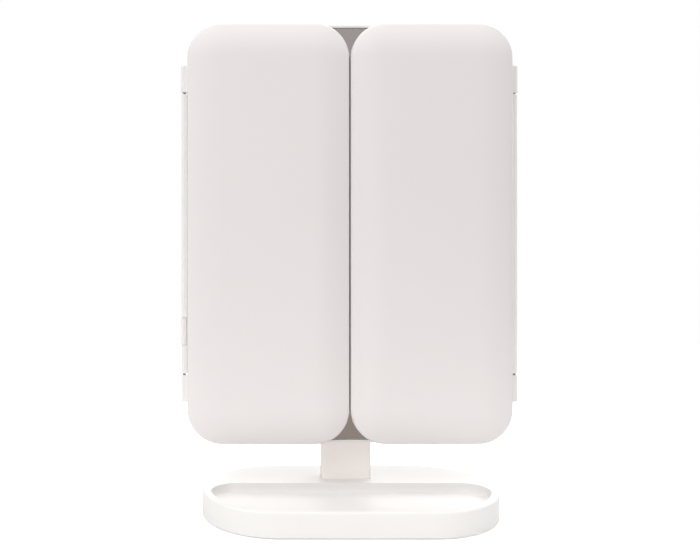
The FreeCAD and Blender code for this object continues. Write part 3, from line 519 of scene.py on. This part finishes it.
def place_since(work, verts_before, origin, direction):
    """Moves the vertices made since a count, modelled along +Z at the origin, to a place and a direction."""
    work.verts.ensure_lookup_table()
    turn = Vector(direction).to_track_quat("Z", "Y").to_matrix().to_4x4()
    bmesh.ops.transform(work, matrix=Matrix.Translation(origin) @ turn, verts=work.verts[verts_before:])


def colour_since(work, faces_before, material):
    """Gives the faces made since a count one of the piece's materials."""
    work.faces.ensure_lookup_table()
    for face in work.faces[faces_before:]:
        face.material_index = material


def solids_of(name):
    """The points of each separate solid in a CAD node."""
    work = bmesh.new()
    work.from_mesh(nodes[name].data)
    bmesh.ops.remove_doubles(work, verts=work.verts, dist=weld_distance)
    work.verts.index_update()
    seen = set()
    clouds = []
    for start in work.verts:
        if start.index in seen:
            continue
        seen.add(start.index)
        cloud = [start]
        for vertex in cloud:
            for edge in vertex.link_edges:
                other = edge.other_vert(vertex)
                if other.index not in seen:
                    seen.add(other.index)
                    cloud.append(other)
        clouds.append([vertex.co.copy() for vertex in cloud])
    work.free()
    return clouds


def box_of(cloud):
    """Lowest and highest corner of a cloud of points."""
    low = Vector([min(point[axis] for point in cloud) for axis in range(3)])
    high = Vector([max(point[axis] for point in cloud) for axis in range(3)])
    return low, high


def add_object(name, data):
    thing = bpy.data.objects.new(name, data)
    bpy.context.scene.collection.objects.link(thing)
    return thing


def make_piece(work, node, name, *materials):
    """Turns the finished bmesh into a piece that stands for a CAD node and rides with it."""
    bmesh.ops.recalc_face_normals(work, faces=work.faces)
    mesh = bpy.data.meshes.new(name)
    work.to_mesh(mesh)
    work.free()
    for material in materials:
        mesh.materials.append(material)
    mesh.shade_smooth()
    mesh.set_sharp_from_angle(angle=math.radians(sharp_angle))
    piece = add_object(name, mesh)
    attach(piece, nodes[node]["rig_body"])
    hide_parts(node)


# ---- screws ----
head_profile = ((0.62, 0.02), (0.80, 0.10), (0.92, 0.26), (0.985, 0.50), (1.0, 0.66), (1.0, 0.95),
                (0.97, 1.0))   # share of the head's radius, share of its height
recess_share = 0.52       # arm of the driver cross over the head's radius
recess_depth = 0.72       # over the head's height
recess_floor = 0.55       # arm of the cross at its floor over the arm at its mouth
recess_point = 1.1        # depth of the floor's middle over the depth of its outline
thread_pitch = 0.00085
thread_steps = 4          # rings in one turn
ridge_fall = 2.6          # slope of the thread's sides: its height is lost in 1 / 2.6 of a pitch
root_share = 0.76         # radius between the ridges over the shank's radius
tip_share = 0.5           # radius of the flat tip over the shank's radius
tip_drop = 0.2            # how far that radius lies before the screw's end, in steps
same_place = 2e-5         # slack in telling which CAD points lie on the rim and on the tip
screw_axes = (("base_screws", 2), ("weight_screws", 2), ("bracket_screws", 2), ("neck_screws", 1),
              ("frame_screws", 1), ("lug_screws", 1), ("rail_screws", 0))   # 0 is X, 1 is Y, 2 is Z


def thread_loop(ring, rings, shank_radius, level, angles):
    """One ring of a shank with a helical ridge, which fades in over one turn and out over two."""
    fade = min(1.0, ring / thread_steps, (rings - ring) / (2 * thread_steps))
    points = []
    for part, angle in enumerate(angles):
        phase = (ring / thread_steps - part / round_parts) % 1.0
        ridge = max(0.0, 1.0 - abs(phase - 0.5) * ridge_fall)
        radius = shank_radius * (root_share + (1 - root_share) * ridge * fade)
        points.append((radius * math.cos(angle), radius * math.sin(angle), level))
    return points


def add_screw(work, origin, direction, head_radius, head_height, shank_radius, length):
    """Pan-head screw with a driver cross and a cut thread. The origin is the middle of the head's top."""
    angles = turns(round_parts)
    arm = head_radius * recess_share
    depth = head_height * recess_depth
    loops = [cross(arm * recess_floor, depth, angles), cross(arm, 0.0, angles)]
    loops += [circle(head_radius * share, head_height * drop, angles) for share, drop in head_profile]
    loops.append(circle(shank_radius * root_share, head_height, angles))
    step = thread_pitch / thread_steps
    rings = int((length - head_height) / step) - 1
    for ring in range(rings):
        loops.append(thread_loop(ring, rings, shank_radius, head_height + (ring + 0.5) * step, angles))
    loops.append(circle(shank_radius * tip_share, length - step * tip_drop, angles))
    before = len(work.verts)
    closed_loft(work, depth * recess_point, loops, length)
    place_since(work, before, origin, direction)


def detail_screws(node, axis, material):
    """Replaces a node of plain CAD screws. Every size is read from the node's own solids."""
    work = bmesh.new()
    for cloud in solids_of(node):
        low, high = box_of(cloud)
        middle = (low + high) / 2
        reaches = []
        for point in cloud:
            offset = point - middle
            offset[axis] = 0
            reaches.append(offset.length)
        head_radius = max(reaches)
        rim = [point[axis] for point, reach in zip(cloud, reaches) if reach > head_radius - same_place]
        head_first = abs(min(rim) - low[axis]) < abs(max(rim) - high[axis])
        start, end = (low[axis], high[axis]) if head_first else (high[axis], low[axis])
        tip = [reach for point, reach in zip(cloud, reaches) if abs(point[axis] - end) < same_place]
        origin = middle.copy()
        origin[axis] = start
        direction = Vector((0, 0, 0))
        direction[axis] = 1 if head_first else -1
        add_screw(work, origin, direction, head_radius, max(rim) - min(rim), max(tip), abs(end - start))
    make_piece(work, node, "threaded_" + node, material)


# ---- feet and light chips: profiles give shares of the radius or half width, and of the height ----
foot_profile = ((0.30, 0.30), (0.40, 0.0), (0.50, 0.0), (0.56, 0.22), (0.64, 0.22), (0.70, 0.0), (0.86, 0.0),
                (0.95, 0.06), (1.0, 0.22), (1.0, 0.94), (0.96, 1.0))
case_profile = ((1.0, 0.0), (1.0, 0.92), (0.95, 1.0))
well_profile = ((0.84, 1.0), (0.74, 0.80), (0.40, 0.87))
gel_crown = 0.90          # height of the gel's middle
gel_share = 0.72          # faces of the well nearer to its middle than this are gel


def detail_feet(material):
    """Rubber feet with two raised rings underneath."""
    work = bmesh.new()
    for cloud in solids_of("rubber_feet"):
        low, high = box_of(cloud)
        radius = (high.x - low.x) / 2
        height = high.z - low.z
        loops = [circle(radius * share, height * level, turns(smooth_parts)) for share, level in foot_profile]
        before = len(work.verts)
        closed_loft(work, height * foot_profile[0][1], loops, height)
        place_since(work, before, ((low.x + high.x) / 2, (low.y + high.y) / 2, low.z), (0, 0, 1))
    make_piece(work, "rubber_feet", "ringed_feet", material)


def detail_light_chips(case, gel):
    """Light chips: a white case with a round well of phosphor gel, facing the diffuser."""
    work = bmesh.new()
    angles = turns(round_parts)
    for cloud in solids_of("light_chips"):
        low, high = box_of(cloud)
        half = (high.x - low.x) / 2
        height = high.y - low.y
        loops = [square(half * share, height * level, angles) for share, level in case_profile]
        loops += [circle(half * share, height * level, angles) for share, level in well_profile]
        before = len(work.verts)
        faces_before = len(work.faces)
        closed_loft(work, 0, loops, height * gel_crown)
        work.faces.ensure_lookup_table()
        for face in work.faces[faces_before:]:
            middle = face.calc_center_median()
            inside = Vector((middle.x, middle.y)).length < half * gel_share
            face.material_index = 1 if inside and middle.z > height / 2 else 0
        place_since(work, before, ((low.x + high.x) / 2, high.y, (low.z + high.z) / 2), (0, -1, 0))
    make_piece(work, "light_chips", "cased_light_chips", case, gel)


# ---- board components ----
lead_pitch = 0.00127
lead_width = 0.00045
lead_sheet = 0.00018
lead_path = ((0.0, 0.55), (0.30, 0.55), (0.60, 0.06), (1.0, 0.06))   # share of its reach, share of the height
lead_reach = 0.12         # over the width of the chip with its leads
chip_lift = 0.10          # gap under a chip's body over its height
chip_chamfer = 0.12       # over the height
can_profile = ((0.90, 0.0), (1.0, 0.0), (1.0, 0.10), (0.93, 0.16), (0.93, 0.20), (0.97, 0.25), (0.97, 0.92),
               (0.92, 0.985), (0.84, 1.0), (0.80, 0.965))   # share of the radius, share of the height
passive_half = (0.0005, 0.00025, 0.0004)
passive_end = 0.3         # share of a passive's length that is its metal end
passive_waist = 0.1       # how far its body lies inside its ends, over the half height
passive_chamfer = 0.12    # over the half height
passive_rows = 2
passives_in_row = 7
passive_pitch = 0.0024


def brick(work, low, high, chamfer, material=0):
    """Block with its twelve edges chamfered."""
    faces_before = len(work.faces)
    loops = []
    levels = ((low[2], chamfer), (low[2] + chamfer, 0.0), (high[2] - chamfer, 0.0), (high[2], chamfer))
    for level, inset in levels:
        x0, x1 = low[0] + inset, high[0] - inset
        y0, y1 = low[1] + inset, high[1] - inset
        loops.append([(x0 + chamfer, y0, level), (x1 - chamfer, y0, level), (x1, y0 + chamfer, level),
                      (x1, y1 - chamfer, level), (x1 - chamfer, y1, level), (x0 + chamfer, y1, level),
                      (x0, y1 - chamfer, level), (x0, y0 + chamfer, level)])
    rings = loft(work, loops)
    middle = ((low[0] + high[0]) / 2, (low[1] + high[1]) / 2)
    cap(work, rings[0], (*middle, low[2]))
    cap(work, rings[-1], (*middle, high[2]))
    colour_since(work, faces_before, material)


def add_lead(work, root, way, reach, height, y0):
    """Bent lead of a chip on the board plane y0. It runs along X from the root, which is (x, z)."""
    faces_before = len(work.faces)
    loops = []
    left = root[1] - lead_width / 2
    right = root[1] + lead_width / 2
    for along, up in lead_path:
        x = root[0] + way * along * reach
        y = y0 + up * height
        loops.append([(x, y, left), (x, y, right), (x, y + lead_sheet, right), (x, y + lead_sheet, left)])
    rings = loft(work, loops)
    work.faces.new(rings[0])
    work.faces.new(rings[-1])
    colour_since(work, faces_before, 1)


def add_chip(work, low, high):
    """Chip in a moulded body with bent leads along two sides."""
    height = high.y - low.y
    reach = (high.x - low.x) * lead_reach
    body_low = (low.x + reach, low.y + height * chip_lift, low.z)
    brick(work, body_low, (high.x - reach, high.y, high.z), height * chip_chamfer)
    count = int((high.z - low.z) / lead_pitch)
    first = (low.z + high.z - (count - 1) * lead_pitch) / 2
    for index in range(count):
        z = first + index * lead_pitch
        add_lead(work, (low.x + reach, z), -1, reach, height, low.y)
        add_lead(work, (high.x - reach, z), 1, reach, height, low.y)


def add_can(work, low, high):
    """Round capacitor standing on the board: a crimped can with a sunk top."""
    radius = (high.x - low.x) / 2
    height = high.y - low.y
    before = len(work.verts)
    faces_before = len(work.faces)
    loops = [circle(radius * share, height * level, turns(smooth_parts)) for share, level in can_profile]
    closed_loft(work, 0, loops, height * can_profile[-1][1])
    place_since(work, before, ((low.x + high.x) / 2, low.y, (low.z + high.z) / 2), (0, 1, 0))
    colour_since(work, faces_before, 1)


def add_passives(work, start):
    """Rows of small parts with metal ends, below the widest chip."""
    half_x, half_y, half_z = passive_half
    core = half_x * (1 - 2 * passive_end)
    for row in range(passive_rows):
        z = start.z - (row + 1) * passive_pitch
        for index in range(passives_in_row):
            x = start.x + index * passive_pitch
            sections = ((x - half_x, x - core, 0.0, 1), (x - core, x + core, passive_waist, 0),
                        (x + core, x + half_x, 0.0, 1))   # its start, end, waist and material
            for x0, x1, waist, material in sections:
                inset = half_y * waist
                top = start.y + 2 * half_y - inset
                brick(work, (x0, start.y, z - half_z + inset), (x1, top, z + half_z - inset),
                      half_y * passive_chamfer, material)


def detail_board_chips(epoxy, tin):
    """Chips with leads, a capacitor in place of the tallest solid, and rows of small parts."""
    work = bmesh.new()
    boxes = sorted((box_of(cloud) for cloud in solids_of("board_chips")), key=lambda box: box[1].y - box[0].y)
    for low, high in boxes[:-1]:
        add_chip(work, low, high)
    add_can(work, *boxes[-1])
    widest = max(boxes, key=lambda box: box[1].x - box[0].x)
    add_passives(work, widest[0])
    make_piece(work, "board_chips", "leaded_board_chips", epoxy, tin)


# ---- switch and battery ----
switch_bore = 0.00165
bore_depth = 0.9          # over the switch's height
cover_sheet = 0.08        # over the switch's height
cover_profile = ((0.96, 0), (1.0, 1), (1.0, 2), (0.93, 2.4))   # share of the half width, depth in sheets
cover_end = 2.2           # faces less deep than this, in sheets, are the cover
seal_width = 0.0016
seal_sheet = 0.0004
seal_chamfer = 0.4        # over the sheet
terrace = 0.0040
terrace_gap = 0.4         # from the terrace's edge to the tabs' ends, over its height
terrace_chamfer = 0.3     # over the sheet
tab_half = 0.0025
tab_sheet = 0.5           # over the seal's sheet
tab_chamfer = 0.1         # over the seal's sheet
pouch_corner = 0.0022
corner_steps = 5
pouch_profile = ((0.0, 0.0030), (0.03, 0.0014), (0.14, 0.0004), (0.32, 0.0), (0.68, 0.0), (0.86, 0.0004),
                 (0.97, 0.0014), (1.0, 0.0030))   # share of the depth, inset


def detail_switch(epoxy, tin):
    """Push switch: a moulded body under a metal cover, with a bore for the plunger."""
    low, high = box_of(solids_of("tact_switch")[0])
    work = bmesh.new()
    size = high - low
    middle = (low + high) / 2
    sheet = size.x * cover_sheet
    half = size.y / 2
    angles = turns(round_parts)
    loops = [circle(switch_bore, size.x * bore_depth, angles), circle(switch_bore, 0, angles)]
    loops += [square(half * share, sheet * sheets, angles) for share, sheets in cover_profile]
    loops += [square(half * cover_profile[-1][0], size.x, angles), circle(switch_bore / 2, size.x, angles)]
    closed_loft(work, size.x * bore_depth, loops, size.x)
    for face in work.faces:
        face.material_index = 1 if face.calc_center_median().z < sheet * cover_end else 0
    place_since(work, 0, (low.x, middle.y, middle.z), (1, 0, 0))
    make_piece(work, "tact_switch", "covered_switch", epoxy, tin)


def pouch_loop(low, high, y, inset):
    """Upright rounded rectangle at depth y."""
    points = []
    for quarter, (side_x, side_z) in enumerate(((1, 1), (-1, 1), (-1, -1), (1, -1))):
        centre_x = (high.x - inset - pouch_corner) if side_x > 0 else (low.x + inset + pouch_corner)
        centre_z = (high.z - inset - pouch_corner) if side_z > 0 else (low.z + inset + pouch_corner)
        for step in range(corner_steps + 1):
            turn = math.radians(90 * quarter + 90 * step / corner_steps)
            x = centre_x + pouch_corner * math.cos(turn)
            points.append((x, y, centre_z + pouch_corner * math.sin(turn)))
    return points


def detail_battery(foil, tin):
    """Pouch cell: a pillowed body, folded seals along its sides, and a terrace with two tabs on top."""
    low, high = box_of(solids_of("battery")[0])
    work = bmesh.new()
    body_low = Vector((low.x + seal_width, low.y, low.z))
    body_high = Vector((high.x - seal_width, high.y, high.z - terrace))
    depth = high.y - low.y
    rings = loft(work, [pouch_loop(body_low, body_high, low.y + depth * level, inset)
                        for level, inset in pouch_profile])
    middle = (body_low + body_high) / 2
    cap(work, rings[0], (middle.x, low.y, middle.z))
    cap(work, rings[-1], (middle.x, high.y, middle.z))
    y = (low.y + high.y) / 2
    for x0, x1 in ((low.x, body_low.x + seal_sheet), (body_high.x - seal_sheet, high.x)):
        brick(work, (x0, y, low.z + seal_width), (x1, y + 2 * seal_sheet, body_high.z),
              seal_sheet * seal_chamfer)
    brick(work, (body_low.x + seal_width, y, body_high.z - seal_width),
          (body_high.x - seal_width, y + seal_sheet, high.z - terrace * terrace_gap),
          seal_sheet * terrace_chamfer)
    for side in (-1, 1):
        x = middle.x + side * (body_high.x - body_low.x) / 4
        brick(work, (x - tab_half, y + seal_sheet, high.z - terrace),
              (x + tab_half, y + seal_sheet * (1 + tab_sheet), high.z), seal_sheet * tab_chamfer, 1)
    make_piece(work, "battery", "pouch_battery", foil, tin)


# ---- finishes of all nodes ----
def paint(material, *names):
    """Gives CAD nodes a material in place of their own."""
    for name in names:
        node = nodes[name]
        node.data.materials.clear()
        node.data.materials.append(material)


def dress_housings():
    """White plastics, mirrors and feet."""
    paint(moulded_plastic("wing_plastic", wing_white), "left_wing_shell", "right_wing_shell",
          "centre_rear_shell")
    paint(moulded_plastic("hinge_plastic", hinge_white, roughness=0.36), "left_hinge_rail",
          "right_hinge_rail", "power_button", "left_hinge_knuckles", "right_hinge_knuckles")
    # the neck's plastic carries painted light: its white is raised against the head's shade
    paint(moulded_plastic("neck_plastic", neck_white_painted_light), "neck_front_shell", "neck_rear_shell")
    # the base's tray gets painted crevice light from further off, and none near its foot
    paint(moulded_plastic("base_plastic", base_white, roughness=0.36, crevice_light_reach=0.008, unlit_height=0.008),
          "base_shell")
    paint(moulded_plastic("frame_plastic", frame_white, roughness=0.34, grain=0.6), "left_wing_frame",
          "right_wing_frame", "centre_front_frame")
    paint(moulded_plastic("cover_plastic", cover_white, roughness=0.55, grain=1.8), "base_bottom_cover")
    paint(silvered_glass(), "centre_mirror", "left_wing_mirror", "right_wing_mirror")
    detail_feet(soft_rubber())


def dress_metalwork():
    """Weight, bracket, socket, tilt joint, hinge pins with their sleeves, and every screw."""
    paint(rolled_plate(), "base_weight")
    paint(plated_sheet("bracket_sheet", bracket_grey, rolled_grain), "neck_bracket", "tilt_washers",
          "charging_socket")
    paint(plated_sheet("cast_lug", lug_grey, even_grain), "tilt_lug")
    steel = plated_fastener("bright_fastener", screw_steel)
    paint(steel, "tilt_pin", "tilt_nut")
    paint(plated_fastener("pin_steel", hinge_steel), "left_hinge_pins", "right_hinge_pins")
    for name, axis in screw_axes:
        detail_screws(name, axis, steel)
    paint(sintered_bronze(), "hinge_sleeves")


def dress_electrics():
    """Light strips, boards with their chips, the switch with its plunger, and the battery."""
    paint(frosted_diffuser(), "left_light_diffuser", "right_light_diffuser")
    paint(lacquered_board("light_board_lacquer", white_mask, white_trace), "left_light_board",
          "right_light_board")
    paint(lacquered_board("control_board_lacquer", green_mask, green_trace), "control_board", "switch_board")
    epoxy = moulded_epoxy()
    tin = plated_fastener("tinned_metal", tin_white)
    detail_board_chips(epoxy, tin)
    detail_switch(epoxy, tin)
    detail_light_chips(matte_nylon("chip_case", chip_case_white), phosphor())
    paint(matte_nylon("plunger_nylon", plunger_black), "switch_plunger")
    detail_battery(pouch_foil(), tin)


def soften(width, *names):
    """Rounds the sharp edges of simple CAD nodes with modifiers. The mesh itself stays."""
    for name in names:
        node = nodes[name]
        weld = node.modifiers.new("weld", "WELD")
        weld.merge_threshold = weld_distance
        flat = node.modifiers.new("flat", "DECIMATE")
        flat.decimate_type = "DISSOLVE"
        flat.angle_limit = math.radians(flat_angle)
        bevel = node.modifiers.new("bevel", "BEVEL")
        bevel.width = width
        bevel.segments = round_steps
        bevel.limit_method = "ANGLE"
        bevel.angle_limit = math.radians(sharp_angle)
        shade = node.modifiers.new("shade", "WEIGHTED_NORMAL")
        shade.keep_sharp = True


def soften_nodes():
    """Rounds large parts more widely than small ones."""
    soften(wide_round, "left_wing_mirror", "right_wing_mirror", "centre_mirror", "left_light_diffuser",
           "right_light_diffuser", "left_wing_frame", "right_wing_frame", "centre_front_frame",
           "power_button", "base_bottom_cover", "base_weight")
    soften(middle_round, "left_light_board", "right_light_board", "switch_board", "neck_bracket", "tilt_nut",
           "tilt_lug", "tilt_pin", "left_hinge_pins", "right_hinge_pins")
    soften(fine_round, "tilt_washers", "hinge_sleeves", "switch_plunger")


# ---- light, stage and camera ----
def square_lamp(name, place, side, watts, mirrored):
    data = bpy.data.lights.new(name, "AREA")
    data.shape = "SQUARE"
    data.size = side
    data.energy = watts
    lamp = add_object(name, data)
    lamp.location = place
    lamp.rotation_euler = (Vector(lamp_aim) - Vector(place)).to_track_quat("-Z", "Y").to_euler()
    lamp.visible_glossy = mirrored


def light_world():
    """White to the camera, to mirrors and to glass. Softer on diffuse surfaces."""
    world = bpy.data.worlds.new("studio")
    world.use_nodes = True
    sky = Nodes(world.node_tree)
    in_full = sky.rays("Is Camera Ray", "Is Glossy Ray", "Is Transmission Ray")
    level = sky.span(in_full, 0.0, 1.0, start=world_level)
    sky.fill(sky.tree.nodes["Background"], Color=white, Strength=level)
    bpy.context.scene.world = world


def paper_sheet(name, material_name, points, faces):
    """A sheet with a new material of its own."""
    mesh = bpy.data.meshes.new(name)
    mesh.from_pydata(points, [], faces)
    material = bpy.data.materials.new(material_name)
    material.use_nodes = True
    mesh.materials.append(material)
    return add_object(name, mesh)


def lay_floor():
    """Pale floor that keeps the object's shadow. The camera sees it a little brighter, up to white."""
    corners = [(-floor_side, floor_front, 0), (floor_side, floor_front, 0),
               (floor_side, floor_back, 0), (-floor_side, floor_back, 0)]
    sheet = paper_sheet("floor", "floor_paper", corners, [range(len(corners))])
    paper = Nodes(sheet.active_material.node_tree)
    glow = paper.maths("MULTIPLY", paper.rays("Is Camera Ray"), floor_glow)
    paper.fill(paper.tree.nodes["Principled BSDF"], Base_Color=floor_colour, Roughness=floor_roughness,
               Specular_IOR_Level=floor_gloss, Emission_Color=white, Emission_Strength=glow)


def hang_card():
    """Grey studio card behind the camera and overhead, seen only in reflections."""
    points = [(x, y, z) for y, z in card_sweep for x in (-card_half, card_half)]
    faces = [(row, row + 1, row + 3, row + 2) for row in range(0, len(points) - 2, 2)]
    card = paper_sheet("studio_card", "card_paper", points, faces)
    card.visible_camera = False
    card.visible_diffuse = False
    card.visible_transmission = False
    card.visible_shadow = False
    paper = Nodes(card.active_material.node_tree)
    paper.tree.nodes.remove(paper.tree.nodes["Principled BSDF"])
    height = paper.axis("Z")
    aside = paper.maths("ABSOLUTE", paper.axis("X"))
    tone = paper.blend(paper.span(height, *card_rise), card_low, card_top)
    tone = paper.blend(paper.span(height, *card_turn), tone, card_over)
    tone = paper.blend(paper.span(aside, card_core, card_half), tone, white)
    glow = paper.add("ShaderNodeEmission")
    paper.fill(glow, Color=tone)
    paper.fill(paper.tree.nodes["Material Output"], Surface=glow.outputs["Emission"])


def set_camera():
    data = bpy.data.cameras.new("camera")
    data.lens = camera_lens
    data.shift_x, data.shift_y = camera_shift
    camera = add_object("camera", data)
    camera.location = camera_place
    camera.rotation_euler = (math.pi / 2, 0, 0)
    bpy.context.scene.camera = camera


bpy.context.scene.view_settings.view_transform = "Standard"
set_camera()
light_world()
for lamp_name, lamp_values in lamps.items():
    square_lamp(lamp_name, *lamp_values)
lay_floor()
hang_card()
dress_housings()
dress_metalwork()
dress_electrics()
soften_nodes()
